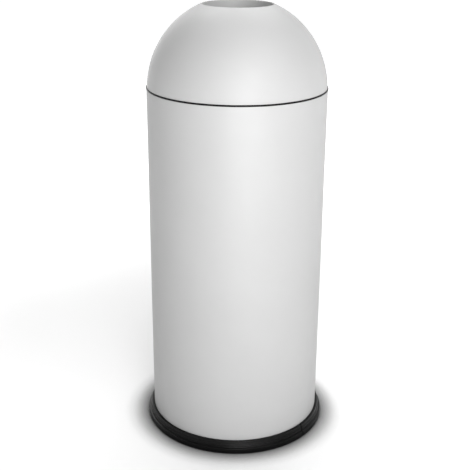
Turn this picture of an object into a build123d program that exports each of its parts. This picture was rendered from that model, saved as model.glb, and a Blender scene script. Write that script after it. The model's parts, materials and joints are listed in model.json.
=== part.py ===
from build123d import *

import os
from math import asin, atan2, cos, degrees, radians, sin, sqrt

# Bullet-shaped ashtray bin: a round sheet-steel body on a plastic base ring, a dome that lifts off, an ash
# bowl in the hole of the dome and a galvanised liner with a carrying bail.
# Millimetres. +Z is up, the origin is the centre of the bin on the floor, and -Y is the front.

# Driving dimensions
body_radius = 170.0          # outside of the sheet-steel body
body_height = 662.9          # visible body, from the base ring's top to the neck trim
sheet = 1.0                  # thickness of body, dome and base sheet

base_ring_height = 24.0
base_ring_floor = 4.0        # thickness of the ring's floor flange, under the body
base_ring_lower_width = 11.2  # how far the lower tier stands out from the body
base_ring_upper_width = 7.9  # how far the upper tier stands out at its foot
base_ring_lower_tier = 10.0  # height of the lower tier
base_ring_lip_width = 5.2    # width of the flat land on top of the ring
base_ring_step = 5.0         # height of the narrow step under that land
base_ring_draft = 0.9        # how far the step leans out towards its foot
base_ring_edge = 0.6         # broken edge on top of the upper tier
base_ring_cove = 0.8         # small cove between the two tiers
base_ring_flange_width = 16.0  # how far the floor flange reaches under the body
joint_azimuth = -40.0        # direction of the ring's butt joint, degrees from +X
joint_gap = 1.2
joiner_thickness = 3.0
joiner_height = 12.0
joiner_arc = 9.0             # degrees
joiner_inset = 1.5           # plastic between the body and the joiner
joiner_foot = 2.0            # plastic under the joiner

pan_height = 14.0            # top of the base plate above the floor
pan_foot_width = 11.0        # returned foot of the base plate
pan_bead_height = 2.5        # raised bead that centres the liner
pan_bead_width = 6.0
pan_bead_slope = 1.5         # how far each side of the bead leans
pan_bead_play = 2.5          # clear space between the liner and the bead
screw_count = 4
screw_shank_radius = 1.75
screw_head_radius = 3.6
screw_length = 9.0
screw_rim = 0.4              # straight edge of the head
screw_recess = 0.5           # how far the heads stay above the floor
screw_point = 1.5            # length of the point
screw_tip_radius = 0.3
screw_slot = (4.4, 0.9, 1.0)  # length, width and depth of the cross slot

trim_bead_height = 3.0       # visible height of the black neck trim
trim_overhang = 0.8          # how far the trim stands out from the body
trim_leg_thickness = 1.8
trim_leg_length = 15.0
trim_bead_round = 1.2

dome_inset = 0.9             # the dome's sphere is this much smaller than the body
dome_rise = 5.0              # height of the dome's edge above the centre of its sphere
hole_radius = 65.0           # clear radius of the hole in the dome
lip_bend = 1.5               # outside radius of the turned edge
lip_depth = 24.0             # depth of the lip below the dome's top

skirt_gap = 1.7              # clear space between skirt and neck trim
skirt_depth = 22.0           # how far the skirt drops into the neck
skirt_weld_low = 4.0         # the welded band starts this high above the dome's edge
skirt_weld_band = 10.0       # height of the band that is welded to the dome
skirt_shoulder = 0.8         # height of the skirt's fold above the dome's edge
spring_count = 3
spring_sheet = 0.5
spring_play = 0.3            # clear space between the springs and the neck trim
spring_height = 12.0
spring_drop = 1.0            # how far the springs sit below the body's top
spring_azimuth = 30.0        # direction of the first spring, degrees from +X
spring_half_arc = 8.0        # degrees from the middle of a spring to its feet
spring_foot_arc = 4.0        # degrees of each foot
spring_rivet_shank = 1.4     # radius
spring_rivet_head = 2.6      # radius
spring_rivet_rise = 0.6      # height of each head

ledge_width = 6.0            # how far the bowl seat reaches into the hole
seat_band_height = 12.0      # how far the bowl seat climbs outside the lip
bowl_sheet = 1.0
bowl_depth = 26.0
bowl_corner = 8.0
bowl_side_gap = 1.5          # clear space between bowl and ledge
flange_gap = 0.6             # clear space between the bowl's flange and the lip
grid_edge_inset = 0.5        # the grid is this much smaller than the bowl's flange
grid_skirt_depth = 4.0
grid_skirt_gap = 0.4
finger_hole_radius = 11.0
finger_rim_height = 2.5
stub_hole_radius = 3.5
stub_hole_rows = ((0.4, 8), (0.6, 12), (0.8, 18))   # share of the grid's skirt radius, number of holes

liner_gap = 14.0             # between the inside of the body and the liner's wall
liner_drop = 78.7            # how far the liner's rim stays below the body's top
liner_sheet = 0.8
liner_base_recess = 8.0
rib_shares = (0.32, 0.64)    # height of each swaged rib as a share of the liner's height
rib_depth = 1.8
rib_width = 12.0
rib_round = 2.0
rim_wire_radius = 2.2
curl_arc = 300.0             # how far the rim is curled round its wire, degrees

ear_sheet = 1.6
ear_width = 22.0
ear_leg_length = 24.0
ear_gap = 1.1                # between the curled rim and the ear's plate
ear_joggle = 1.5             # how far the bend at the plate's foot reaches down the leg
ear_head_room = 5.0          # metal above the bail's hole
ear_top_flat = 6.0           # straight part of the ear's rounded top
ear_rivet_pitch = 11.0
ear_rivet_shank = 1.7        # radius
ear_rivet_head = 3.2         # radius
ear_rivet_rise = 0.9         # height of each head
bail_wire_radius = 2.5
bail_bend = 3.5              # bend of the bail's wire beside the ears
bail_play = 0.3              # clear space round the bail's ends in the ears and beside them
bail_head = 1.2              # how far the headed ends stand out from the wire
bail_head_gap = 0.5          # between an ear and the head outside it
bail_head_length = 1.5
grip_radius = 7.5
grip_round = 2.0
grip_arc = 38.0              # degrees of the bail that the grip covers

seam_width = 8.0             # lap of the rolled tubes, at the back
groove_width = 0.8           # hairline groove of the body's seam
groove_depth = 0.4
rest_gap = 0.2               # between a lift-out piece and what it rests on
lap_margin = 4.0             # the body's lap stops this far short of its neighbours

edge_round = 0.3             # broken edge of cut sheet
small_bend = 0.6             # tight folds and moulded corners
sheet_bend = 1.4             # outside of a pressed fold
drill_reach = 10.0           # how far a cutting tool runs past the metal

# Heights and radii that follow
body_inner = body_radius - sheet
body_top = base_ring_height + body_height
trim_top = body_top + trim_bead_height
trim_inner = body_inner - trim_leg_thickness

dome_edge = trim_top + rest_gap
dome_centre = dome_edge - dome_rise
dome_radius = body_radius - dome_inset
dome_inner = dome_radius - sheet
bend_centre_radius = hole_radius + lip_bend
bend_centre_height = dome_centre + sqrt((dome_radius - lip_bend) ** 2 - bend_centre_radius ** 2)
dome_top = bend_centre_height + lip_bend
lip_bottom = dome_top - lip_depth
lip_outer = hole_radius + sheet

skirt_outer = trim_inner - skirt_gap
skirt_inner = skirt_outer - sheet
skirt_bottom = trim_top - skirt_depth
spring_bow = skirt_gap - spring_sheet - spring_play
spring_middle = body_top - spring_height / 2 - spring_drop

ledge_radius = hole_radius - ledge_width
bowl_radius = ledge_radius - bowl_side_gap
bowl_inner = bowl_radius - bowl_sheet
bowl_flange = hole_radius - flange_gap
bowl_flange_bottom = lip_bottom + rest_gap
bowl_flange_top = bowl_flange_bottom + bowl_sheet
bowl_bottom = bowl_flange_top - bowl_depth
grid_bottom = bowl_flange_top + rest_gap
grid_top = grid_bottom + bowl_sheet

liner_bottom = pan_height + rest_gap
liner_height = body_top - liner_drop - liner_bottom
liner_radius = body_inner - liner_gap
liner_inner = liner_radius - liner_sheet
curl_radius = rim_wire_radius + liner_sheet
rim_radius = liner_inner + curl_radius
rim_top = liner_bottom + liner_height
rim_centre = rim_top - curl_radius
bail_height = rim_top + grip_radius + rest_gap
ear_plate_inner = rim_radius + curl_radius + ear_gap
ear_plate_outer = ear_plate_inner + ear_sheet
bail_radius = ear_plate_inner - bail_bend - bail_wire_radius - bail_play
bail_head_inner = ear_plate_outer + bail_head_gap
bail_head_outer = bail_head_inner + bail_head_length


def turned(section):
    """A solid of revolution about Z. The section is a list of (radius, height, corner radius)."""
    face = make_face(Polyline(*[(radius, height) for radius, height, corner in section], close=True))
    for radius, height, corner in section:
        if corner > 0:
            vertex = face.vertices().sort_by_distance((radius, height))[0]
            face = fillet(vertex, corner)
    return revolve(Plane.XZ * face, Axis.Z)


def turned_arcs(edges):
    """A solid of revolution about Z from the edges of its section."""
    return revolve(Plane.XZ * make_face(edges), Axis.Z)


def tube(outer, inner, low, high):
    """A plain tube about Z."""
    return Pos(0, 0, low) * extrude(Circle(outer) - Circle(inner), high - low)


def rod_along_x(radius, low, high, height):
    """A round rod in the direction of X, at a height above the floor."""
    return Pos(low, 0, height) * Rot(0, 90, 0) * extrude(Circle(radius), high - low)


def around(count, angle=0.0):
    """Rotations about Z, evenly spread."""
    return [Rot(0, 0, angle + index * 360.0 / count) for index in range(count)]


def radial_rivet(shank, head, head_height, inner, outer, height):
    """A rivet along X through a curved sheet, with its heads bedded on both faces."""
    reach = outer + drill_reach
    stem = rod_along_x(shank, 0, reach, height) & tube(outer, inner, height - reach, height + reach)
    disc = rod_along_x(head, 0, reach, height)
    outer_head = disc & tube(outer + head_height, outer, height - reach, height + reach)
    inner_head = disc & tube(inner, inner - head_height, height - reach, height + reach)
    return stem + outer_head + inner_head


# Outer bin

def make_body_shell():
    """Rolled tube. Its lap seam runs down the back and shows outside as a hairline groove."""
    shell = tube(body_radius, body_inner, base_ring_floor, body_top)
    lap_bottom = pan_height + pan_bead_height + lap_margin
    lap_top = body_top - trim_leg_length - lap_margin
    lap = tube(body_inner, body_inner - sheet, lap_bottom, lap_top)
    lap &= Pos(0, body_radius, body_top / 2) * Box(seam_width, drill_reach, body_top)
    groove = Pos(0, body_radius, body_top / 2) * Box(groove_width, 2 * groove_depth, 2 * body_top)
    return shell + lap - groove


def make_neck_trim():
    """Moulded ring: a rounded bead on the body's edge and a leg that plugs into the tube."""
    bead_radius = body_radius + trim_overhang
    return turned([
        (trim_inner, trim_top, small_bend),
        (bead_radius, trim_top, trim_bead_round),
        (bead_radius, body_top, trim_bead_round),
        (body_inner, body_top, 0),
        (body_inner, body_top - trim_leg_length, small_bend),
        (trim_inner, body_top - trim_leg_length, small_bend),
    ])


def screw_places():
    radius = body_inner - pan_foot_width / 2
    return [turn * Pos(radius, 0, 0) * Rot(0, 0, 90) for turn in around(screw_count, 45.0)]


def screw_form(bottom):
    """Countersunk screw that points up. Its head starts at the given height above the floor."""
    cone_top = screw_recess + screw_head_radius - screw_shank_radius
    tip = screw_recess + screw_length
    return turned([
        (0, bottom, 0),
        (screw_head_radius, bottom, 0),
        (screw_head_radius, screw_recess + screw_rim, 0),
        (screw_shank_radius, cone_top + screw_rim, 0),
        (screw_shank_radius, tip - screw_point, 0),
        (screw_tip_radius, tip, 0),
        (0, tip, 0),
    ])


def make_base_screws():
    length, width, depth = screw_slot
    slot = Pos(0, 0, screw_recess) * Box(length, width, 2 * depth)
    screw = screw_form(screw_recess) - slot - Rot(0, 0, 90) * slot
    return Compound(children=[(place * screw).solid() for place in screw_places()])


def make_base_plate():
    """Pressed pan: raised bead round the liner, flange welded to the tube, foot returned inwards."""
    top = pan_height
    foot = base_ring_floor
    foot_radius = body_inner - pan_foot_width
    bead_inner = liner_radius + pan_bead_play
    bead_top = top + pan_bead_height
    slope = pan_bead_slope
    pan = turned([
        (0, top, 0),
        (bead_inner, top, small_bend),
        (bead_inner + slope, bead_top, small_bend),
        (bead_inner + pan_bead_width, bead_top, small_bend),
        (bead_inner + pan_bead_width + slope, top, small_bend),
        (body_inner, top, small_bend),
        (body_inner, foot, 0),
        (foot_radius, foot, 0),
        (foot_radius, foot + sheet, 0),
        (body_inner - sheet, foot + sheet, 0),
        (body_inner - sheet, top - sheet, 0),
        (bead_inner + pan_bead_width + slope - sheet, top - sheet, 0),
        (bead_inner + pan_bead_width - sheet, bead_top - sheet, 0),
        (bead_inner + slope + sheet, bead_top - sheet, 0),
        (bead_inner + sheet, top - sheet, 0),
        (0, top - sheet, 0),
    ])
    for place in screw_places():
        pan -= place * screw_form(screw_recess)
    return pan


def make_base_ring_joiner():
    """Tongue hidden in the ring's wall, across the butt joint."""
    middle_radius = body_radius + joiner_inset + joiner_thickness / 2
    middle_height = base_ring_floor + joiner_foot + joiner_height / 2
    section = Plane.XZ * Pos(middle_radius, middle_height) * Rectangle(joiner_thickness, joiner_height)
    return Rot(0, 0, joint_azimuth - joiner_arc / 2) * revolve(section, Axis.Z, revolution_arc=joiner_arc)


def make_base_ring():
    """Two-tier plastic ring: the body stands on its floor flange, inside its wall."""
    lower = body_radius + base_ring_lower_width
    upper = body_radius + base_ring_upper_width
    land = body_radius + base_ring_lip_width
    foot = body_inner - base_ring_flange_width
    upper_top = base_ring_height - base_ring_step
    ring = turned([
        (body_radius, base_ring_height, edge_round),
        (land, base_ring_height, small_bend),
        (land + base_ring_draft, upper_top, edge_round),
        (upper - base_ring_edge, upper_top - base_ring_edge, small_bend),
        (upper, base_ring_lower_tier + base_ring_cove, edge_round),
        (lower, base_ring_lower_tier, small_bend),
        (lower, 0, small_bend),
        (foot, 0, small_bend),
        (foot, base_ring_floor, small_bend),
        (body_radius, base_ring_floor, 0),
    ])
    ring -= make_base_ring_joiner()
    ring -= Rot(0, 0, joint_azimuth) * Pos(body_radius, 0, 0) * Box(4 * base_ring_flange_width, joint_gap, 4 * base_ring_height)
    for place in screw_places():
        ring -= place * screw_form(-screw_rim)
    return ring


# Dome

def make_dome_shell():
    """Spun dome. Its wall turns down through a small bend into a vertical lip round the hole."""
    centre = (0, dome_centre)
    bend = (bend_centre_radius, bend_centre_height)
    bend_angle = degrees(atan2(bend_centre_height - dome_centre, bend_centre_radius))
    outer_start = degrees(asin(dome_rise / dome_radius))
    inner_start = degrees(asin(dome_rise / dome_inner))
    outside = CenterArc(centre, dome_radius, outer_start, bend_angle - outer_start)
    over = CenterArc(bend, lip_bend, bend_angle, 180.0 - bend_angle)
    lip_inside = Line((hole_radius, bend_centre_height), (hole_radius, lip_bottom))
    lip_edge = Line((hole_radius, lip_bottom), (lip_outer, lip_bottom))
    lip_outside = Line((lip_outer, lip_bottom), (lip_outer, bend_centre_height))
    under = CenterArc(bend, lip_bend - sheet, 180.0, bend_angle - 180.0)
    inside = CenterArc(centre, dome_inner, bend_angle, inner_start - bend_angle)
    edge = Line(inside @ 1, outside @ 0)
    return turned_arcs([outside, over, lip_inside, lip_edge, lip_outside, under, inside, edge])


def make_dome_skirt():
    """Strip ring: its upper band follows the inside of the dome, its lower band drops into the neck."""
    centre = (0, dome_centre)
    band_low = dome_edge + skirt_weld_low
    band_high = band_low + skirt_weld_band
    low_angle = degrees(asin((band_low - dome_centre) / dome_inner))
    high_angle = degrees(asin((band_high - dome_centre) / dome_inner))
    outside = CenterArc(centre, dome_inner, low_angle, high_angle - low_angle)
    inside = CenterArc(centre, dome_inner - sheet, high_angle, low_angle - high_angle)
    step_inner = (skirt_inner, dome_edge + skirt_shoulder)
    step_outer = (skirt_outer, dome_edge + skirt_shoulder / 2)
    rest = Polyline(inside @ 1, step_inner, (skirt_inner, skirt_bottom), (skirt_outer, skirt_bottom),
                    step_outer, outside @ 0)
    return turned_arcs([outside, Line(outside @ 1, inside @ 0), inside, rest])


def plan_point(radius, angle):
    return (radius * cos(radians(angle)), radius * sin(radians(angle)))


def make_catch_springs():
    """Leaf springs on the skirt: two feet and a bow that leans against the neck trim."""
    bow_end = spring_half_arc
    foot_end = spring_half_arc + spring_foot_arc
    face_radius = skirt_outer + spring_sheet
    inner_bow = ThreePointArc(plan_point(skirt_outer, -bow_end), plan_point(skirt_outer + spring_bow, 0),
                              plan_point(skirt_outer, bow_end))
    outer_bow = ThreePointArc(plan_point(face_radius, bow_end), plan_point(face_radius + spring_bow, 0),
                              plan_point(face_radius, -bow_end))
    right_foot = CenterArc((0, 0), skirt_outer, bow_end, foot_end - bow_end)
    right_face = CenterArc((0, 0), face_radius, foot_end, bow_end - foot_end)
    left_face = CenterArc((0, 0), face_radius, -bow_end, bow_end - foot_end)
    left_foot = CenterArc((0, 0), skirt_outer, -foot_end, foot_end - bow_end)
    outline = [inner_bow, right_foot, Line(right_foot @ 1, right_face @ 0), right_face, outer_bow,
               left_face, Line(left_face @ 1, left_foot @ 0), left_foot]
    spring = Pos(0, 0, spring_middle - spring_height / 2) * extrude(make_face(outline), spring_height)
    for rivet_turn in spring_rivet_turns():
        spring -= rivet_turn * spring_rivet_hole()
    return [turn * spring for turn in around(spring_count, spring_azimuth)]


def spring_rivet_turns():
    angle = spring_half_arc + spring_foot_arc / 2
    return [Rot(0, 0, -angle), Rot(0, 0, angle)]


def spring_rivet_hole():
    return rod_along_x(spring_rivet_shank, skirt_inner - drill_reach, skirt_outer + drill_reach, spring_middle)


def make_spring_rivets():
    rivet = radial_rivet(spring_rivet_shank, spring_rivet_head, spring_rivet_rise,
                         skirt_inner, skirt_outer + spring_sheet, spring_middle)
    return Compound(children=[(turn * side * rivet).solid()
                              for turn in around(spring_count, spring_azimuth)
                              for side in spring_rivet_turns()])


def drill_skirt(skirt):
    for turn in around(spring_count, spring_azimuth):
        for side in spring_rivet_turns():
            skirt -= turn * side * spring_rivet_hole()
    return skirt


def make_bowl_seat():
    """Ring round the outside of the lip, with a ledge below it that carries the bowl's flange."""
    return turned([
        (lip_outer, lip_bottom + seat_band_height, 0),
        (lip_outer + sheet, lip_bottom + seat_band_height, 0),
        (lip_outer + sheet, lip_bottom - sheet, sheet_bend),
        (ledge_radius, lip_bottom - sheet, edge_round),
        (ledge_radius, lip_bottom, edge_round),
        (lip_outer, lip_bottom, 0),
    ])


# Ash bowl and stub grid

def make_ash_bowl():
    return turned([
        (bowl_flange, bowl_flange_top, edge_round),
        (bowl_flange, bowl_flange_bottom, edge_round),
        (bowl_radius, bowl_flange_bottom, small_bend),
        (bowl_radius, bowl_bottom, bowl_corner),
        (0, bowl_bottom, 0),
        (0, bowl_bottom + bowl_sheet, 0),
        (bowl_inner, bowl_bottom + bowl_sheet, bowl_corner - bowl_sheet),
        (bowl_inner, bowl_flange_top, sheet_bend),
    ])


def make_stub_grid():
    """Perforated plate with a rimmed finger hole and a short skirt that centres it in the bowl."""
    edge = bowl_flange - grid_edge_inset
    skirt = bowl_inner - grid_skirt_gap
    grid = turned([
        (finger_hole_radius, grid_top + finger_rim_height, edge_round),
        (finger_hole_radius + bowl_sheet, grid_top + finger_rim_height, edge_round),
        (finger_hole_radius + bowl_sheet, grid_top, small_bend),
        (edge, grid_top, edge_round),
        (edge, grid_bottom, edge_round),
        (skirt, grid_bottom, 0),
        (skirt, grid_bottom - grid_skirt_depth, edge_round),
        (skirt - bowl_sheet, grid_bottom - grid_skirt_depth, edge_round),
        (skirt - bowl_sheet, grid_bottom, 0),
        (finger_hole_radius, grid_bottom, sheet_bend),
    ])
    punch = Pos(0, 0, grid_bottom) * Cylinder(stub_hole_radius, 4 * bowl_sheet)
    for share, count in stub_hole_rows:
        for turn in around(count):
            grid -= turn * Pos(share * skirt, 0, 0) * punch
    return grid


# Liner

def rib(face_radius, height, direction):
    """The four corners of one swaged rib on a wall's face, climbing or descending."""
    half = rib_width / 2
    crest = half - rib_depth
    corners = [
        (face_radius, height - half, rib_round),
        (face_radius + rib_depth, height - crest, rib_round),
        (face_radius + rib_depth, height + crest, rib_round),
        (face_radius, height + half, rib_round),
    ]
    return corners if direction > 0 else corners[::-1]


def make_liner_wall():
    """Galvanised tube with swaged ribs. Its rim is curled outwards round a wire."""
    outer_face = [(liner_radius, liner_bottom, 0)]
    for share in rib_shares:
        outer_face += rib(liner_radius, liner_bottom + share * liner_height, 1)
    inner_face = [(liner_inner, rim_centre, 0)]
    for share in reversed(rib_shares):
        inner_face += rib(liner_inner, liner_bottom + share * liner_height, -1)
    wall = turned(outer_face + [(liner_radius, rim_centre, 0)] + inner_face + [(liner_inner, liner_bottom, 0)])
    centre = (rim_radius, rim_centre)
    outside = CenterArc(centre, curl_radius, 180.0, -curl_arc)
    inside = CenterArc(centre, rim_wire_radius, 180.0 - curl_arc, curl_arc)
    curl = turned_arcs([outside, Line(outside @ 1, inside @ 0), inside, Line(inside @ 1, outside @ 0)])
    lap = tube(liner_radius + liner_sheet, liner_radius, liner_bottom, rim_centre - 2 * curl_radius)
    lap &= Pos(0, liner_radius, 0) * Box(seam_width, drill_reach, 4 * liner_height)
    wall = wall + curl + lap
    for hole in ear_rivet_holes():
        wall -= hole
    return wall


def make_liner_base():
    """Pressed base, raised off the floor of the bin, with its flange inside the wall."""
    top = liner_bottom + liner_base_recess
    return turned([
        (0, top, 0),
        (liner_inner, top, sheet_bend),
        (liner_inner, liner_bottom, 0),
        (liner_inner - liner_sheet, liner_bottom, 0),
        (liner_inner - liner_sheet, top - liner_sheet, small_bend),
        (0, top - liner_sheet, 0),
    ])


def make_rim_wire():
    section = Plane.XZ * Pos(rim_radius, rim_centre) * Circle(rim_wire_radius)
    return revolve(section, Axis.Z)


def ear_rivet_heights():
    middle = rim_centre - 2 * curl_radius - ear_leg_length / 2
    return [middle - ear_rivet_pitch / 2, middle + ear_rivet_pitch / 2]


def ear_rivet_holes():
    near = liner_inner - drill_reach
    far = liner_radius + drill_reach
    return [turn * rod_along_x(ear_rivet_shank, near, far, height)
            for turn in around(2) for height in ear_rivet_heights()]


def make_bail_ear():
    """Ear on the +X side: a curved leg on the wall, stepped out round the rim into a flat plate."""
    leg_top = rim_centre - 2 * curl_radius
    plate_bottom = rim_centre - curl_radius
    top = bail_height + bail_wire_radius + ear_head_room
    leg = tube(liner_radius + ear_sheet, liner_radius, leg_top - ear_leg_length, leg_top)
    leg &= Pos(liner_radius, 0, leg_top) * Box(2 * drill_reach, ear_width, 4 * ear_leg_length)
    step = Polyline(
        (liner_radius, leg_top - ear_joggle), (liner_radius + ear_sheet, leg_top - ear_joggle),
        (ear_plate_outer, plate_bottom), (ear_plate_outer, top), (ear_plate_inner, top),
        (ear_plate_inner, plate_bottom + ear_joggle), (liner_radius, leg_top), close=True)
    plate = Pos(0, ear_width / 2, 0) * extrude(Plane.XZ * make_face(step), ear_width)
    plate -= tube(liner_radius, liner_inner - drill_reach, leg_top - ear_leg_length, rim_top)
    ear = leg + plate
    top_edges = ear.edges().filter_by(Axis.X).group_by(Axis.Z)[-1]
    ear = fillet(top_edges, (ear_width - ear_top_flat) / 2)
    ear -= rod_along_x(bail_wire_radius + bail_play, liner_radius, ear_plate_outer + drill_reach, bail_height)
    for hole in ear_rivet_holes():
        ear -= hole
    return ear


def make_ear_rivets():
    rivets = [radial_rivet(ear_rivet_shank, ear_rivet_head, ear_rivet_rise,
                           liner_inner, liner_radius + ear_sheet, height) for height in ear_rivet_heights()]
    return Compound(children=[(turn * rivet).solid() for turn in around(2) for rivet in rivets])


# Bail

def make_bail_wire():
    """Half hoop that lies over the rim. Each end turns outwards through an ear and is headed over."""
    bend_x = sqrt((bail_radius + bail_bend) ** 2 - bail_bend ** 2)
    bend_angle = degrees(asin(bail_bend / (bail_radius + bail_bend)))
    hoop = CenterArc((0, 0), bail_radius, bend_angle, 180.0 - 2 * bend_angle)
    right_bend = CenterArc((bend_x, bail_bend), bail_bend, 270.0, bend_angle - 90.0)
    left_bend = CenterArc((-bend_x, bail_bend), bail_bend, -bend_angle, bend_angle - 90.0)
    right_end = Line((bail_head_outer, 0), (bend_x, 0))
    left_end = Line((-bend_x, 0), (-bail_head_outer, 0))
    path = Pos(0, 0, bail_height) * Wire([right_end.edge(), right_bend.edge(), hoop.edge(),
                                          left_bend.edge(), left_end.edge()])
    start = Plane(origin=path @ 0, z_dir=path % 0)
    wire = sweep(start * Circle(bail_wire_radius), path)
    head = rod_along_x(bail_wire_radius + bail_head, bail_head_inner, bail_head_outer, bail_height)
    return wire + head + Rot(0, 0, 180) * head


def make_bail_grip():
    """Moulded grip round the middle of the bail."""
    section = Plane.XZ * Pos(bail_radius, bail_height) * (Circle(grip_radius) - Circle(bail_wire_radius))
    grip = Rot(0, 0, 90.0 - grip_arc / 2) * revolve(section, Axis.Z, revolution_arc=grip_arc)
    rounds = grip.edges().filter_by(GeomType.CIRCLE).sort_by(SortBy.RADIUS)
    ends = [edge for edge in rounds if edge.radius < 2 * grip_radius][-2:]
    return fillet(ends, grip_round)


def build_nodes():
    """Every separate piece of the bin, by name."""
    springs = make_catch_springs()
    ear = make_bail_ear()
    return {
        "body_shell": make_body_shell(),
        "neck_trim": make_neck_trim(),
        "base_plate": make_base_plate(),
        "base_ring": make_base_ring(),
        "base_ring_joiner": make_base_ring_joiner(),
        "base_screws": make_base_screws(),
        "dome_shell": make_dome_shell(),
        "dome_skirt": drill_skirt(make_dome_skirt()),
        "catch_spring_1": springs[0],
        "catch_spring_2": springs[1],
        "catch_spring_3": springs[2],
        "spring_rivets": make_spring_rivets(),
        "bowl_seat": make_bowl_seat(),
        "ash_bowl": make_ash_bowl(),
        "stub_grid": make_stub_grid(),
        "liner_wall": make_liner_wall(),
        "liner_base": make_liner_base(),
        "rim_wire": make_rim_wire(),
        "bail_ear_right": ear,
        "bail_ear_left": Rot(0, 0, 180) * ear,
        "ear_rivets": make_ear_rivets(),
        "bail_wire": make_bail_wire(),
        "bail_grip": make_bail_grip(),
    }


os.makedirs("parts", exist_ok=True)
for node_name, shape in build_nodes().items():
    export_step(shape, f"parts/{node_name}.step")
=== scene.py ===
import json
from math import asin, atan2, cos, pi, radians, sin, sqrt

import bmesh
import bpy
from mathutils import Matrix, Vector


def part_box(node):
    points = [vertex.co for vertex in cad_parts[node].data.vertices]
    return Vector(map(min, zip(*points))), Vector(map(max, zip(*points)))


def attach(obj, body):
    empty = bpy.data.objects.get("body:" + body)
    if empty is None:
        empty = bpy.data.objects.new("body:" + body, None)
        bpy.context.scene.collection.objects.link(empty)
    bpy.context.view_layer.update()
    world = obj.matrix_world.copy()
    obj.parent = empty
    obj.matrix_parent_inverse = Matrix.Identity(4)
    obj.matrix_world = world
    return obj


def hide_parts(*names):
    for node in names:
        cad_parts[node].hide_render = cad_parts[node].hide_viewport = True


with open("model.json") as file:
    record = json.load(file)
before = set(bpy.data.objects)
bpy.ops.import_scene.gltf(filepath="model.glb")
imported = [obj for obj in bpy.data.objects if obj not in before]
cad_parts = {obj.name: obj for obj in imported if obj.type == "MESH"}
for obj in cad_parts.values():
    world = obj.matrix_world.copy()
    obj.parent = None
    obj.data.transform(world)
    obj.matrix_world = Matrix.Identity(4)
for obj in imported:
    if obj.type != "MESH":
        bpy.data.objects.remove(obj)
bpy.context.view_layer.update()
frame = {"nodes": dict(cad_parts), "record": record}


def mm(length):
    return length / 1000.0


# Sizes that the frame gives, in metres

bodyLow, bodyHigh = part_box("body_shell")
ringLow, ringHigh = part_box("base_ring")
trimLow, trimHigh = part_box("neck_trim")
domeLow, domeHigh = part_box("dome_shell")
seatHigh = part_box("bowl_seat")[1]
bowlLow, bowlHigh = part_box("ash_bowl")
linerLow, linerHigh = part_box("liner_wall")
wireLow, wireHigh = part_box("rim_wire")
gripLow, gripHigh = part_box("bail_grip")

sheet = mm(1.0)                 # steel sheet of body, dome and bowl
bodyRadius = bodyHigh.x
bodyInner = bodyRadius - sheet
holeRadius = seatHigh.x - 2 * sheet
backAngle = pi / 2              # +Y, where the body's seam runs and the bail rests


# Outlines and turned pieces

def arcPoints(centre, radius, startAngle, endAngle, steps):
    points = []
    for step in range(steps + 1):
        angle = startAngle + (endAngle - startAngle) * step / steps
        points.append((centre[0] + radius * cos(angle), centre[1] + radius * sin(angle)))
    return points


def roundedOutline(corners, steps=6):
    # corners are (radius from the axis, height, rounding)
    points = []
    count = len(corners)
    for index, (x, y, rounding) in enumerate(corners):
        if rounding <= 0:
            points.append((x, y))
            continue
        corner = Vector((x, y))
        before = (Vector(corners[index - 1][:2]) - corner).normalized()
        after = (Vector(corners[(index + 1) % count][:2]) - corner).normalized()
        halfTurn = before.angle(after) / 2
        centre = corner + (before + after).normalized() * rounding / sin(halfTurn)
        first = corner + before * rounding / (sin(halfTurn) / cos(halfTurn)) - centre
        last = corner + after * rounding / (sin(halfTurn) / cos(halfTurn)) - centre
        for step in range(steps + 1):
            share = step / steps
            spread = pi - 2 * halfTurn
            weightFirst = sin((1 - share) * spread) / sin(spread)
            weightLast = sin(share * spread) / sin(spread)
            points.append(tuple(centre + first * weightFirst + last * weightLast))
    return points


def evenAngles(count):
    return [2 * pi * index / count for index in range(count)]


def anglesWithSeam(count, seamAngle, halfWidth, spread):
    # even angles, with close ones added where the seam's hairline runs
    near = [seamAngle + offset * halfWidth for offset in spread]
    margin = (max(spread) + 1) * halfWidth
    clear = [angle for angle in evenAngles(count) if abs(angle - seamAngle) > margin]
    return sorted(clear + near)


mergeDistance = 1e-7            # metres; points that coincide become one


def turnedMesh(name, outline, angles, closed=True, shift=None):
    # spins a closed outline about Z; shift(angle, radius, height) can move a point in or out
    mesh = bpy.data.meshes.new(name)
    build = bmesh.new()
    rows = []
    for angle in angles:
        row = []
        for radius, height in outline:
            reach = radius + (shift(angle, radius, height) if shift else 0.0)
            row.append(build.verts.new((reach * cos(angle), reach * sin(angle), height)))
        rows.append(row)
    lastRow = len(rows) if closed else len(rows) - 1
    for index in range(lastRow):
        here = rows[index]
        there = rows[(index + 1) % len(rows)]
        for point in range(len(outline)):
            following = (point + 1) % len(outline)
            build.faces.new((here[point], there[point], there[following], here[following]))
    if not closed:
        build.faces.new(rows[0])
        build.faces.new(list(reversed(rows[-1])))
    bmesh.ops.remove_doubles(build, verts=build.verts, dist=mergeDistance)
    bmesh.ops.recalc_face_normals(build, faces=build.faces)
    build.to_mesh(mesh)
    build.free()
    return mesh


def smoothShaded(mesh, sharpAngle=32.0):
    mesh.polygons.foreach_set("use_smooth", [True] * len(mesh.polygons))
    mesh.set_sharp_from_angle(angle=radians(sharpAngle))


def addPiece(mesh, body, node, material):
    piece = bpy.data.objects.new("look_" + node, mesh)
    bpy.context.scene.collection.objects.link(piece)
    smoothShaded(mesh)
    mesh.materials.clear()
    mesh.materials.append(material)
    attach(piece, body)
    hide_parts(node)


# Material building

def hexToLinear(code):
    channels = [int(code[start:start + 2], 16) / 255.0 for start in (1, 3, 5)]
    linear = [c / 12.92 if c <= 0.04045 else ((c + 0.055) / 1.055) ** 2.4 for c in channels]
    return (linear[0], linear[1], linear[2], 1.0)


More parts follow.
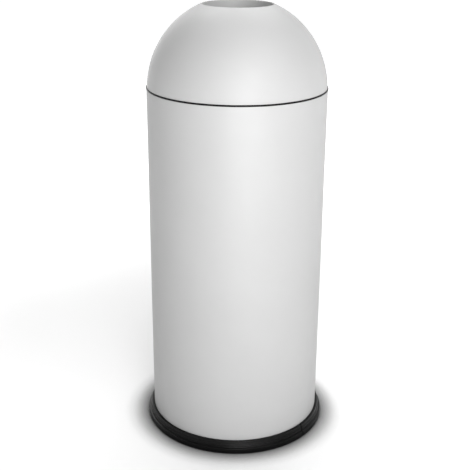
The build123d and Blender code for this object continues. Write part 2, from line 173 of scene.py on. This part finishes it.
def addNode(material, kind, settings=None, inputs=None):
    tree = material.node_tree
    node = tree.nodes.new(kind)
    for setting, value in (settings or {}).items():
        setattr(node, setting, value)
    for socket, value in (inputs or {}).items():
        if isinstance(value, bpy.types.NodeSocket):
            tree.links.new(value, node.inputs[socket])
        else:
            node.inputs[socket].default_value = value
    return node


def startMaterial(name):
    material = bpy.data.materials.new(name)
    material.use_nodes = True
    material.node_tree.nodes.clear()
    surface = addNode(material, "ShaderNodeBsdfPrincipled")
    addNode(material, "ShaderNodeOutputMaterial", inputs={"Surface": surface.outputs["BSDF"]})
    place = addNode(material, "ShaderNodeTexCoord").outputs["Object"]
    return material, surface, place


def perMetre(size):
    # texture scale for a pattern whose cells measure this many millimetres
    return 1.0 / mm(size)


def link(material, output, target):
    material.node_tree.links.new(output, target)


# most of a noise texture's values lie between these two
noiseSpan = (0.3, 0.7)

# how far the surface must turn within the wear's reach: cosine where wear starts, and where it is full
edgeTurn = (0.97, 0.75)


def wornEdges(material, place, settings):
    # a mask that is strongest on sharp edges and breaks up into patches
    rounded = addNode(material, "ShaderNodeBevel", {"samples": 4}, {"Radius": mm(settings["wearReach"])})
    shape = addNode(material, "ShaderNodeNewGeometry")
    turned = addNode(material, "ShaderNodeVectorMath", {"operation": "DOT_PRODUCT"}, {
        0: rounded.outputs["Normal"], 1: shape.outputs["Normal"]})
    edge = addNode(material, "ShaderNodeMapRange", inputs={
        "Value": turned.outputs["Value"], "From Min": edgeTurn[0], "From Max": edgeTurn[1],
        "To Min": 0.0, "To Max": settings["wear"]})
    patches = addNode(material, "ShaderNodeTexNoise", inputs={
        "Vector": place, "Scale": perMetre(settings["wearPatch"]), "Detail": 4.0, "Roughness": 0.6})
    broken = addNode(material, "ShaderNodeMath", {"operation": "MULTIPLY"}, {
        0: edge.outputs["Result"], 1: patches.outputs["Fac"]})
    return broken.outputs["Value"]


# Powder-coated steel: the white satin paint melts into a very fine orange peel, so highlights stay wide
# and soft, and the colour is even apart from a faint bloom from handling and dust.

powderCoat = {
    "white": "#A0A0A0",
    "bloom": "#9B9B9B",
    "cloud": 140.0,           # mm across a patch of bloom
    "haze": 30.0,             # mm across a patch of duller gloss
    "worn": "#868684",        # thin coat on the edges, where the steel starts to show
    "wear": 0.6,
    "wearReach": 1.2,         # mm in from the edge
    "wearPatch": 9.0,         # mm
    "roughness": (0.46, 0.54),
    "ior": 1.5,
    "peelCell": 2.4,          # mm, drawn about twice as coarse as real so that it shows
    "peelDepth": 0.035,       # mm
    "grainCell": 0.7,         # mm
    "grainDepth": 0.0117,     # mm
}


def makePowderCoat():
    material, surface, place = startMaterial("powder_coated_steel")
    cloud = addNode(material, "ShaderNodeTexNoise", inputs={
        "Vector": place, "Scale": perMetre(powderCoat["cloud"]), "Detail": 3.0, "Roughness": 0.55})
    tone = addNode(material, "ShaderNodeMix", {"data_type": "RGBA"}, {
        "Factor": cloud.outputs["Fac"],
        "A": hexToLinear(powderCoat["white"]), "B": hexToLinear(powderCoat["bloom"])})
    worn = addNode(material, "ShaderNodeMix", {"data_type": "RGBA"}, {
        "Factor": wornEdges(material, place, powderCoat),
        "A": tone.outputs["Result"], "B": hexToLinear(powderCoat["worn"])})
    link(material, worn.outputs["Result"], surface.inputs["Base Color"])
    haze = addNode(material, "ShaderNodeTexNoise", inputs={
        "Vector": place, "Scale": perMetre(powderCoat["haze"]), "Detail": 4.0, "Roughness": 0.6})
    rough = addNode(material, "ShaderNodeMapRange", inputs={
        "Value": haze.outputs["Fac"], "From Min": noiseSpan[0], "From Max": noiseSpan[1],
        "To Min": powderCoat["roughness"][0], "To Max": powderCoat["roughness"][1]})
    link(material, rough.outputs["Result"], surface.inputs["Roughness"])
    peel = addNode(material, "ShaderNodeTexNoise", inputs={
        "Vector": place, "Scale": perMetre(powderCoat["peelCell"]), "Detail": 1.5, "Roughness": 0.45})
    grain = addNode(material, "ShaderNodeTexNoise", inputs={
        "Vector": place, "Scale": perMetre(powderCoat["grainCell"]), "Detail": 1.0})
    peelBump = addNode(material, "ShaderNodeBump", inputs={
        "Height": peel.outputs["Fac"], "Distance": mm(powderCoat["peelDepth"]), "Strength": 0.6})
    grainBump = addNode(material, "ShaderNodeBump", inputs={
        "Height": grain.outputs["Fac"], "Distance": mm(powderCoat["grainDepth"]), "Strength": 0.5,
        "Normal": peelBump.outputs["Normal"]})
    link(material, grainBump.outputs["Normal"], surface.inputs["Normal"])
    surface.inputs["IOR"].default_value = powderCoat["ior"]
    return material


# Extruded black plastic: half-gloss skin with fine lines drawn along it by the die, and dust that
# settles where it faces up.

ringPlastic = {
    "black": "#070707",
    "dusty": "#1A1A1A",
    "dustCell": 1.2,          # mm
    "dustAmount": 0.3,
    "scuffed": "#343434",     # edges that shoes and brooms have rubbed grey
    "wear": 0.6,
    "wearReach": 1.2,         # mm in from the edge
    "wearPatch": 5.0,         # mm
    "roughness": (0.24, 0.34),
    "ior": 1.49,
    "specularLevel": 0.14,
    "dieLine": 1.6,           # mm between die lines
    "dieDepth": 0.04,         # mm
    "dieRun": 50.0,           # how much longer than wide a die line is
}


def makeBlackPlastic(name, settings):
    material, surface, place = startMaterial(name)
    along = settings["dieRun"]
    stretched = addNode(material, "ShaderNodeMapping", inputs={
        "Vector": place, "Scale": (1 / along, 1 / along, 1.0)})
    lines = addNode(material, "ShaderNodeTexNoise", inputs={
        "Vector": stretched.outputs["Vector"], "Scale": perMetre(settings["dieLine"]), "Detail": 2.0})
    speckle = addNode(material, "ShaderNodeTexNoise", inputs={
        "Vector": place, "Scale": perMetre(settings["dustCell"]), "Detail": 3.0})
    facing = addNode(material, "ShaderNodeNewGeometry")
    upward = addNode(material, "ShaderNodeSeparateXYZ", inputs={"Vector": facing.outputs["Normal"]})
    dust = addNode(material, "ShaderNodeMapRange", inputs={
        "Value": upward.outputs["Z"], "From Min": 0.5, "From Max": 1.0,
        "To Min": 0.0, "To Max": settings["dustAmount"]})
    patchy = addNode(material, "ShaderNodeMath", {"operation": "MULTIPLY"}, {
        0: dust.outputs["Result"], 1: speckle.outputs["Fac"]})
    tone = addNode(material, "ShaderNodeMix", {"data_type": "RGBA"}, {
        "Factor": patchy.outputs["Value"],
        "A": hexToLinear(settings["black"]), "B": hexToLinear(settings["dusty"])})
    scuffed = addNode(material, "ShaderNodeMix", {"data_type": "RGBA"}, {
        "Factor": wornEdges(material, place, settings),
        "A": tone.outputs["Result"], "B": hexToLinear(settings["scuffed"])})
    link(material, scuffed.outputs["Result"], surface.inputs["Base Color"])
    rough = addNode(material, "ShaderNodeMapRange", inputs={
        "Value": lines.outputs["Fac"], "From Min": noiseSpan[0], "From Max": noiseSpan[1],
        "To Min": settings["roughness"][0], "To Max": settings["roughness"][1]})
    link(material, rough.outputs["Result"], surface.inputs["Roughness"])
    bump = addNode(material, "ShaderNodeBump", inputs={
        "Height": lines.outputs["Fac"], "Distance": mm(settings["dieDepth"]), "Strength": 0.8})
    link(material, bump.outputs["Normal"], surface.inputs["Normal"])
    surface.inputs["IOR"].default_value = settings["ior"]
    surface.inputs["Specular IOR Level"].default_value = settings["specularLevel"]
    return material


# Hot-dip galvanised sheet: zinc crystals as large as a fingernail, each with its own grey and its own
# gloss, so the tube glitters in patches as it turns.

galvanised = {
    "light": "#B9BDBF",
    "dark": "#8F9496",
    "roughness": (0.28, 0.50),
    "spangle": 14.0,          # mm across one zinc crystal
    "crystalStep": 0.03,      # mm
    "warpCell": 9.0,          # mm, bends the crystals' borders
    "warpReach": 5.0,         # mm
    "featherCell": 2.5,       # mm, fine growth inside a crystal
    "featherAmount": 0.4,
}


def makeGalvanised():
    material, surface, place = startMaterial("galvanised_steel")
    warp = addNode(material, "ShaderNodeTexNoise", inputs={
        "Vector": place, "Scale": perMetre(galvanised["warpCell"]), "Detail": 2.0})
    reach = mm(galvanised["warpReach"])
    bent = addNode(material, "ShaderNodeVectorMath", {"operation": "MULTIPLY_ADD"}, {
        0: warp.outputs["Color"], 1: (reach, reach, reach), 2: place})
    crystals = addNode(material, "ShaderNodeTexVoronoi", inputs={
        "Vector": bent.outputs["Vector"], "Scale": perMetre(galvanised["spangle"])})
    shade = addNode(material, "ShaderNodeSeparateColor", inputs={"Color": crystals.outputs["Color"]})
    feather = addNode(material, "ShaderNodeTexNoise", inputs={
        "Vector": place, "Scale": perMetre(galvanised["featherCell"]), "Detail": 4.0})
    mixed = addNode(material, "ShaderNodeMath", {"operation": "MULTIPLY_ADD"}, {
        0: feather.outputs["Fac"], 1: galvanised["featherAmount"], 2: shade.outputs["Red"]})
    tone = addNode(material, "ShaderNodeMix", {"data_type": "RGBA"}, {
        "Factor": mixed.outputs["Value"],
        "A": hexToLinear(galvanised["light"]), "B": hexToLinear(galvanised["dark"])})
    link(material, tone.outputs["Result"], surface.inputs["Base Color"])
    rough = addNode(material, "ShaderNodeMapRange", inputs={
        "Value": shade.outputs["Green"],
        "To Min": galvanised["roughness"][0], "To Max": galvanised["roughness"][1]})
    link(material, rough.outputs["Result"], surface.inputs["Roughness"])
    bump = addNode(material, "ShaderNodeBump", inputs={
        "Height": shade.outputs["Blue"], "Distance": mm(galvanised["crystalStep"]), "Strength": 0.5})
    link(material, bump.outputs["Normal"], surface.inputs["Normal"])
    surface.inputs["Metallic"].default_value = 1.0
    return material


# Plain metals. Zinc plating is bright and faintly blue, blued spring strip is dark with a drawn grain along
# its length, and pressed stainless sheet is a warmer, softer grey.

metalFinishes = {
    "zinc_plated_steel": {
        "light": "#C6C8CA", "dark": "#9DA0A3", "roughness": (0.22, 0.38),
        "markCell": 1.5, "stretch": (1.0, 1.0, 1.0)},
    "spring_steel": {
        "light": "#6E7278", "dark": "#4A4E56", "roughness": (0.25, 0.40),
        "markCell": 1.0, "stretch": (1.0, 1.0, 6.0)},
    "stainless_steel": {
        "light": "#BABAB7", "dark": "#9C9C99", "roughness": (0.28, 0.40),
        "markCell": 0.8, "stretch": (1.0, 1.0, 1.0)},
}

metalMarks = {"depth": 0.02, "stain": 18.0}         # mm

# edges and rims rub bright where the pieces slide on each other
metalWear = {"bright": "#E4E5E6", "wear": 0.8, "wearReach": 0.8, "wearPatch": 4.0}


def makeMetal(name):
    finish = metalFinishes[name]
    material, surface, place = startMaterial(name)
    stretched = addNode(material, "ShaderNodeMapping", inputs={
        "Vector": place, "Scale": finish["stretch"]})
    marks = addNode(material, "ShaderNodeTexNoise", inputs={
        "Vector": stretched.outputs["Vector"], "Scale": perMetre(finish["markCell"]), "Detail": 5.0})
    stain = addNode(material, "ShaderNodeTexNoise", inputs={
        "Vector": place, "Scale": perMetre(metalMarks["stain"]), "Detail": 3.0})
    tone = addNode(material, "ShaderNodeMix", {"data_type": "RGBA"}, {
        "Factor": stain.outputs["Fac"],
        "A": hexToLinear(finish["light"]), "B": hexToLinear(finish["dark"])})
    rubbed = addNode(material, "ShaderNodeMix", {"data_type": "RGBA"}, {
        "Factor": wornEdges(material, place, metalWear),
        "A": tone.outputs["Result"], "B": hexToLinear(metalWear["bright"])})
    link(material, rubbed.outputs["Result"], surface.inputs["Base Color"])
    rough = addNode(material, "ShaderNodeMapRange", inputs={
        "Value": marks.outputs["Fac"], "From Min": noiseSpan[0], "From Max": noiseSpan[1],
        "To Min": finish["roughness"][0], "To Max": finish["roughness"][1]})
    link(material, rough.outputs["Result"], surface.inputs["Roughness"])
    bump = addNode(material, "ShaderNodeBump", inputs={
        "Height": marks.outputs["Fac"], "Distance": mm(metalMarks["depth"]), "Strength": 0.4})
    link(material, bump.outputs["Normal"], surface.inputs["Normal"])
    surface.inputs["Metallic"].default_value = 1.0
    return material


# the grip is grained and duller, the neck trim is matt and hardly catches the light
gripPlastic = dict(ringPlastic, dieLine=0.9, dieDepth=0.06, roughness=(0.45, 0.6), specularLevel=0.4)
trimPlastic = dict(ringPlastic, dieLine=0.8, roughness=(0.35, 0.5), specularLevel=0.12, wear=0.0)

finishes = {
    "powder_coated_steel": makePowderCoat(),
    "black_moulded_plastic": makeBlackPlastic("black_extruded_plastic", ringPlastic),
    "galvanised_steel": makeGalvanised(),
    "zinc_plated_steel": makeMetal("zinc_plated_steel"),
    "spring_steel": makeMetal("spring_steel"),
    "stainless_steel": makeMetal("stainless_steel"),
    "grip_plastic": makeBlackPlastic("grip_plastic", gripPlastic),
}
trimFinish = makeBlackPlastic("black_trim_plastic", trimPlastic)
print("materials made:", len(finishes) + 1)


# Body: rolled tube with a hairline seam down the back

bodyTube = {
    "segments": 256,
    "edgeRounding": mm(0.3),
    "seamHalfWidth": mm(0.4),
    "seamDepth": mm(0.4),
    "seamSpread": (-2.0, -1.0, -0.5, 0.5, 1.0, 2.0),  # rows of points across it, in half widths
    "seamFloor": 0.75,        # the rows within this many half widths lie at its bottom
}


def makeBody():
    low, high, rounding = bodyLow.z, bodyHigh.z, bodyTube["edgeRounding"]
    outline = roundedOutline([
        (bodyRadius, low, rounding), (bodyRadius, high, rounding),
        (bodyInner, high, rounding), (bodyInner, low, rounding)], steps=3)
    halfWidth = bodyTube["seamHalfWidth"] / bodyRadius

    def seamGroove(angle, radius, height):
        nearSeam = abs(angle - backAngle) < bodyTube["seamFloor"] * halfWidth
        outside = radius > bodyRadius - sheet / 2
        return -bodyTube["seamDepth"] if nearSeam and outside else 0.0

    angles = anglesWithSeam(bodyTube["segments"], backAngle, halfWidth, bodyTube["seamSpread"])
    mesh = turnedMesh("body_shell_mesh", outline, angles, shift=seamGroove)
    addPiece(mesh, "outer_bin", "body_shell", finishes["powder_coated_steel"])


# Neck trim: black ring with a rounded bead between body and dome

neckTrim = {
    "segments": 256,
    "beadRounding": mm(1.2),
    "legThickness": mm(1.8),
    "legRounding": mm(0.6),
}


def makeNeckTrim():
    inner = bodyInner - neckTrim["legThickness"]
    outer = trimHigh.x
    top, bottom, seat = trimHigh.z, trimLow.z, bodyHigh.z
    outline = roundedOutline([
        (inner, top, neckTrim["legRounding"]),
        (outer, top, neckTrim["beadRounding"]),
        (outer, seat, neckTrim["beadRounding"]),
        (bodyInner, seat, 0.0),
        (bodyInner, bottom, neckTrim["legRounding"]),
        (inner, bottom, neckTrim["legRounding"])])
    mesh = turnedMesh("neck_trim_mesh", outline, evenAngles(neckTrim["segments"]))
    addPiece(mesh, "outer_bin", "neck_trim", trimFinish)


# Base ring: two tiers, fine drawn grooves on the upper one, and a butt joint at the right front

baseRing = {
    "segments": 280,
    "landWidth": mm(5.2),
    "step": mm(5.0),
    "draft": mm(0.9),
    "upperWidth": mm(7.9),
    "edge": mm(0.6),
    "corner": mm(0.3),
    "lowerTier": mm(10.0),
    "cove": mm(0.8),
    "floorFlange": mm(4.0),
    "flangeReach": mm(16.0),
    "grooveHeights": (mm(12.8), mm(15.6)),
    "grooveDepth": mm(0.35),
    "grooveWidth": mm(1.0),
    "grooveRounding": mm(0.15),
    "jointAngle": radians(-40.0),
    "jointGap": mm(2.4),      # drawn open wide enough to be seen
}


def makeBaseRing():
    outer, top = ringHigh.x, ringHigh.z
    land = bodyRadius + baseRing["landWidth"]
    upper = bodyRadius + baseRing["upperWidth"]
    upperTop = top - baseRing["step"]
    edge = baseRing["edge"]
    corner = baseRing["corner"]
    foot = bodyInner - baseRing["flangeReach"]
    corners = [
        (bodyRadius, baseRing["floorFlange"], 0.0),
        (bodyRadius, top, corner),
        (land, top, edge),
        (land + baseRing["draft"], upperTop, corner),
        (upper - edge, upperTop - edge, edge)]
    for height in reversed(baseRing["grooveHeights"]):
        half = baseRing["grooveWidth"] / 2
        soft = baseRing["grooveRounding"]
        corners += [
            (upper, height + half, soft),
            (upper - baseRing["grooveDepth"], height, soft),
            (upper, height - half, soft)]
    corners += [
        (upper, baseRing["lowerTier"] + baseRing["cove"], corner),
        (outer, baseRing["lowerTier"], edge),
        (outer, ringLow.z, edge),
        (foot, ringLow.z, edge),
        (foot, baseRing["floorFlange"], edge)]
    outline = roundedOutline(corners, steps=4)
    halfGap = baseRing["jointGap"] / 2 / outer
    sweep = 2 * pi - 2 * halfGap
    count = baseRing["segments"]
    angles = [baseRing["jointAngle"] + halfGap + sweep * index / count for index in range(count + 1)]
    mesh = turnedMesh("base_ring_mesh", outline, angles, closed=False)
    addPiece(mesh, "outer_bin", "base_ring", finishes["black_moulded_plastic"])


# Dome: spun sheet whose wall turns down into a lip round the hole

domeShell = {
    "segments": 256,
    "arcSteps": 72,
    "rise": mm(5.0),          # height of the edge above the centre of the sphere
    "bend": mm(1.5),
    "bendSteps": 8,
    "lipDepth": mm(24.0),
    "lipInset": mm(0.2),      # chamfer on the lip's cut edge
}


def makeDome():
    centreHeight = domeLow.z - domeShell["rise"]
    outer = sqrt(domeHigh.x ** 2 + domeShell["rise"] ** 2)
    inner = outer - sheet
    bendRadius = holeRadius + domeShell["bend"]
    bendHeight = domeHigh.z - domeShell["bend"]
    bendAngle = atan2(bendHeight - centreHeight, bendRadius)
    lipBottom = domeHigh.z - domeShell["lipDepth"]
    lipInset = domeShell["lipInset"]
    outside = arcPoints((0, centreHeight), outer, asin(domeShell["rise"] / outer), bendAngle,
                        domeShell["arcSteps"])
    over = arcPoints((bendRadius, bendHeight), domeShell["bend"], bendAngle, pi, domeShell["bendSteps"])
    lip = [(holeRadius, lipBottom + lipInset), (holeRadius + lipInset, lipBottom),
           (holeRadius + sheet - lipInset, lipBottom), (holeRadius + sheet, lipBottom + lipInset)]
    under = arcPoints((bendRadius, bendHeight), domeShell["bend"] - sheet, pi, bendAngle,
                      domeShell["bendSteps"])
    inside = arcPoints((0, centreHeight), inner, bendAngle, asin(domeShell["rise"] / inner),
                       domeShell["arcSteps"])
    outline = outside + over[1:] + lip + under + inside[1:]
    mesh = turnedMesh("dome_shell_mesh", outline, evenAngles(domeShell["segments"]))
    addPiece(mesh, "dome", "dome_shell", finishes["powder_coated_steel"])


# Ash bowl: pressed bowl that hangs by its flange

ashBowl = {
    "segments": 128,
    "flangeWidth": mm(6.9),
    "corner": mm(8.0),
    "edge": mm(0.3),
    "underFlange": mm(0.6),
    "overFlange": mm(1.4),
    "axisGap": mm(0.05),      # the smallest ring, instead of a point, at the middle of the bottom
}


def makeAshBowl():
    flange = bowlHigh.x
    wall = flange - ashBowl["flangeWidth"]
    top, bottom = bowlHigh.z, bowlLow.z
    centre = ashBowl["axisGap"]
    outline = roundedOutline([
        (flange, top, ashBowl["edge"]),
        (flange, top - sheet, ashBowl["edge"]),
        (wall, top - sheet, ashBowl["underFlange"]),
        (wall, bottom, ashBowl["corner"]),
        (centre, bottom, 0.0),
        (centre, bottom + sheet, 0.0),
        (wall - sheet, bottom + sheet, ashBowl["corner"] - sheet),
        (wall - sheet, top, ashBowl["overFlange"])])
    mesh = turnedMesh("ash_bowl_mesh", outline, evenAngles(ashBowl["segments"]))
    addPiece(mesh, "bowl", "ash_bowl", finishes["stainless_steel"])


# Liner: galvanised tube with swaged ribs and a wired rim

linerTube = {
    "segments": 200,
    "sheet": mm(0.8),
    "ribShares": (0.32, 0.64),    # of the liner's height
    "ribDepth": mm(1.8),
    "ribWidth": mm(12.0),
    "ribRounding": mm(2.0),
    "ribSteps": 5,
    "curlSweep": radians(300.0),
    "curlSteps": 20,
}


def makeLiner():
    gauge = linerTube["sheet"]
    wireRadius = (wireHigh.z - wireLow.z) / 2
    curlRadius = wireRadius + gauge
    rimRadius = wireHigh.x - wireRadius
    rimHeight = (wireHigh.z + wireLow.z) / 2
    outer = rimRadius - wireRadius
    inner = outer - gauge
    half = linerTube["ribWidth"] / 2
    crest = half - linerTube["ribDepth"]

    def ribCorners(face):
        soft = linerTube["ribRounding"]
        raised = face + linerTube["ribDepth"]
        corners = []
        for share in linerTube["ribShares"]:
            middle = linerLow.z + share * (linerHigh.z - linerLow.z)
            corners += [
                (face, middle - half, soft),
                (raised, middle - crest, soft),
                (raised, middle + crest, soft),
                (face, middle + half, soft)]
        return corners

    def wallOutline(face):
        ends = [(face, linerLow.z, 0.0)], [(face, rimHeight, 0.0)]
        return roundedOutline(ends[0] + ribCorners(face) + ends[1], linerTube["ribSteps"])

    endAngle = pi - linerTube["curlSweep"]
    steps = linerTube["curlSteps"]
    climb = wallOutline(outer)
    underCurl = arcPoints((rimRadius, rimHeight), wireRadius, pi, endAngle, steps)
    overCurl = arcPoints((rimRadius, rimHeight), curlRadius, endAngle, pi, steps)
    descend = list(reversed(wallOutline(inner)))
    outline = climb[:-1] + underCurl + overCurl + descend[1:]
    mesh = turnedMesh("liner_wall_mesh", outline, evenAngles(linerTube["segments"]))
    addPiece(mesh, "liner", "liner_wall", finishes["galvanised_steel"])


# Grip of the bail: moulded, with shallow finger ridges

bailGrip = {
    "wireRadius": mm(2.5),
    "rings": 96,
    "sides": 28,
    "ridges": 9,
    "ridgeDepth": mm(0.5),
    "endRounding": mm(4.0),
    "endWall": mm(1.0),       # of the grip round the wire, at its two ends
}


def makeGrip():
    radius = (gripHigh.z - gripLow.z) / 2
    height = (gripHigh.z + gripLow.z) / 2
    hoop = gripHigh.y - radius
    halfArc = asin(gripHigh.x / (hoop + radius))
    length = 2 * halfArc * hoop
    mesh = bpy.data.meshes.new("bail_grip_mesh")
    build = bmesh.new()
    rows = []
    stations = bailGrip["rings"]
    for station in range(stations + 1):
        share = station / stations
        run = share * length
        toEnd = min(run, length - run) / bailGrip["endRounding"]
        endShrink = sqrt(max(0.0, 1 - (1 - min(toEnd, 1.0)) ** 2))
        ridge = bailGrip["ridgeDepth"] * (0.5 - 0.5 * cos(2 * pi * bailGrip["ridges"] * share))
        wide = bailGrip["wireRadius"] + bailGrip["endWall"]
        section = wide + (radius - ridge - wide) * endShrink
        rows.append((backAngle + halfArc * (1 - 2 * share), section))
    shells = [rows, [(angle, bailGrip["wireRadius"]) for angle, section in reversed(rows)]]
    rings = []
    for shell in shells:
        for angle, section in shell:
            ring = []
            for side in range(bailGrip["sides"]):
                turn = 2 * pi * side / bailGrip["sides"]
                reach = hoop + section * cos(turn)
                ring.append(build.verts.new((reach * cos(angle), reach * sin(angle),
                                             height + section * sin(turn))))
            rings.append(ring)
    for index, ring in enumerate(rings):
        following = rings[(index + 1) % len(rings)]
        for side in range(bailGrip["sides"]):
            beside = (side + 1) % bailGrip["sides"]
            build.faces.new((ring[side], ring[beside], following[beside], following[side]))
    bmesh.ops.recalc_face_normals(build, faces=build.faces)
    build.to_mesh(mesh)
    build.free()
    addPiece(mesh, "bail", "bail_grip", finishes["grip_plastic"])


makeBody()
makeNeckTrim()
makeBaseRing()
makeDome()
makeAshBowl()
makeLiner()
makeGrip()
print("pieces made")

# Pieces whose shape is already right take a finish of their own

nodeSlots = {entry["node"]: entry["material_slot"] for entry in frame["record"]["subparts"]}
for nodeName, cadPiece in frame["nodes"].items():
    cadPiece.data.materials.clear()
    cadPiece.data.materials.append(finishes[nodeSlots[nodeName]])
    smoothShaded(cadPiece.data)


# Studio: white floor, soft boxes and the camera

studio = {
    "floorSize": 60.0,
    "floorWhite": "#E6E6E6",
    "floorRoughness": 0.9,
    # painted contact shadow: near the bin the floor's colour and glow fade to this black
    "paintedShadowBlack": "#000000",
    "lightWhite": "#FFFFFF",
    "glowNear": 0.02,         # the floor glows a little, more so further out, to stay pure white
    "glowFar": 0.79,
    "glowStart": 0.6,         # metres from the bin
    "glowFull": 2.0,
    "paintedShadowReach": 0.055,     # how far the painted contact shadow spreads
    "paintedShadowPower": 3.6,
    "horizonWhite": 0.9,      # pale band behind the floor's edge, so that no view ends in black
    "skyGrey": 0.3,
    "bandTop": 0.10,          # sine of the elevation where the band starts to fade
    "bandEnd": 0.22,
}

# azimuth: 0 is straight in front, + is to the right, in degrees
# away, height, aim and size are in metres, and power is in watts
softBoxes = {
    "key": {"azimuth": 7, "away": 2.6, "height": 1.0, "aim": 0.35, "size": (1.0, 1.8), "power": 55},
    "keyRight": {"azimuth": 30, "away": 2.6, "height": 1.2, "aim": 0.45, "size": (1.1, 2.0), "power": 24},
    "highFront": {"azimuth": 10, "away": 1.6, "height": 2.4, "aim": 0.7, "size": (0.7, 0.7), "power": 9},
    "highRight": {"azimuth": 50, "away": 1.8, "height": 2.7, "aim": 0.6, "size": (0.9, 0.9), "power": 15},
    "rimLeft": {"azimuth": -150, "away": 2.6, "height": 1.2, "aim": 0.45, "size": (1.1, 2.0), "power": 12},
    "rimRight": {"azimuth": 130, "away": 2.6, "height": 1.2, "aim": 0.45, "size": (1.1, 2.0), "power": 7},
    "back": {"azimuth": 180, "away": 3.0, "height": 2.0, "aim": 0.3, "size": (4.0, 2.5), "power": 16},
    "backHigh": {"azimuth": 180, "away": 1.2, "height": 2.4, "aim": 0.6, "size": (2.0, 0.8), "power": 31},
    "overhead": {"azimuth": 0, "away": 0.05, "height": 2.2, "aim": 0.0, "size": (1.2, 1.2), "power": 3},
}

viewpoint = {
    "distance": 1.6961,       # from the bin's axis
    "height": 1.0296,
    "tiltDown": 20.664,       # degrees
    "turnLeft": 0.0643,
    "roll": 0.4386,
    "lens": 69.61,            # mm
    "sensor": 36.0,           # mm wide
}


def makeFloor():
    half = studio["floorSize"] / 2
    mesh = bpy.data.meshes.new("studio_floor")
    build = bmesh.new()
    places = ((-half, -half), (half, -half), (half, half), (-half, half))
    build.faces.new([build.verts.new((x, y, 0.0)) for x, y in places])
    build.to_mesh(mesh)
    build.free()
    floor = bpy.data.objects.new("studio_floor", mesh)
    bpy.context.scene.collection.objects.link(floor)
    material, surface, place = startMaterial("matt_white_floor")
    surface.inputs["Roughness"].default_value = studio["floorRoughness"]
    surface.inputs["Specular IOR Level"].default_value = 0.0
    # painted contact shadow: ambient occlusion near the bin darkens the floor's colour toward black
    paintedShadowAO = addNode(material, "ShaderNodeAmbientOcclusion", {"samples": 8}, {
        "Distance": studio["paintedShadowReach"]})
    outsidePaintedShadow = addNode(material, "ShaderNodeMath", {"operation": "POWER"}, {
        0: paintedShadowAO.outputs["AO"], 1: studio["paintedShadowPower"]})
    tone = addNode(material, "ShaderNodeMix", {"data_type": "RGBA"}, {
        "Factor": outsidePaintedShadow.outputs["Value"],
        "A": hexToLinear(studio["paintedShadowBlack"]), "B": hexToLinear(studio["floorWhite"])})
    link(material, tone.outputs["Result"], surface.inputs["Base Color"])
    away = addNode(material, "ShaderNodeVectorMath", {"operation": "LENGTH"}, {0: place})
    glow = addNode(material, "ShaderNodeMapRange", {"interpolation_type": "SMOOTHSTEP"}, {
        "Value": away.outputs["Value"], "From Min": studio["glowStart"], "From Max": studio["glowFull"],
        "To Min": studio["glowNear"], "To Max": studio["glowFar"]})
    # the floor's glow is dimmed inside the painted contact shadow too
    shaded = addNode(material, "ShaderNodeMath", {"operation": "MULTIPLY"}, {
        0: glow.outputs["Result"], 1: outsidePaintedShadow.outputs["Value"]})
    link(material, shaded.outputs["Value"], surface.inputs["Emission Strength"])
    surface.inputs["Emission Color"].default_value = hexToLinear(studio["lightWhite"])
    mesh.materials.append(material)


def makeSky():
    world = bpy.data.worlds.new("studio_sky")
    world.use_nodes = True
    bpy.context.scene.world = world
    place = addNode(world, "ShaderNodeTexCoord").outputs["Generated"]
    up = addNode(world, "ShaderNodeSeparateXYZ", inputs={"Vector": place})
    band = addNode(world, "ShaderNodeMapRange", {"interpolation_type": "SMOOTHSTEP"}, {
        "Value": up.outputs["Z"], "From Min": studio["bandTop"], "From Max": studio["bandEnd"],
        "To Min": studio["horizonWhite"], "To Max": studio["skyGrey"]})
    background = world.node_tree.nodes["Background"]
    link(world, band.outputs["Result"], background.inputs["Strength"])
    background.inputs["Color"].default_value = hexToLinear(studio["lightWhite"])


def makeSoftBox(name, box):
    lamp = bpy.data.lights.new("softbox_" + name, "AREA")
    lamp.shape = "RECTANGLE"
    lamp.size, lamp.size_y = box["size"]
    lamp.energy = box["power"]
    holder = bpy.data.objects.new("softbox_" + name, lamp)
    bpy.context.scene.collection.objects.link(holder)
    azimuth = radians(box["azimuth"])
    place = Vector((box["away"] * sin(azimuth), -box["away"] * cos(azimuth), box["height"]))
    aim = Vector((0.0, 0.0, box["aim"]))
    holder.location = place
    holder.rotation_euler = (aim - place).to_track_quat("-Z", "Y").to_euler()


def makeCamera():
    optics = bpy.data.cameras.new("camera")
    optics.sensor_width = viewpoint["sensor"]
    optics.lens = viewpoint["lens"]
    camera = bpy.data.objects.new("camera", optics)
    bpy.context.scene.collection.objects.link(camera)
    turn = Matrix.Rotation(radians(viewpoint["turnLeft"]), 4, "Z")
    tilt = Matrix.Rotation(radians(90.0 - viewpoint["tiltDown"]), 4, "X")
    roll = Matrix.Rotation(radians(viewpoint["roll"]), 4, "Z")
    place = Matrix.Translation((0.0, -viewpoint["distance"], viewpoint["height"]))
    camera.matrix_world = place @ turn @ tilt @ roll
    bpy.context.scene.camera = camera


makeFloor()
makeSky()
for boxName, softBox in softBoxes.items():
    makeSoftBox(boxName, softBox)
makeCamera()
bpy.context.scene.view_settings.view_transform = "Standard"
bpy.context.scene.view_settings.look = "None"
print("studio ready")
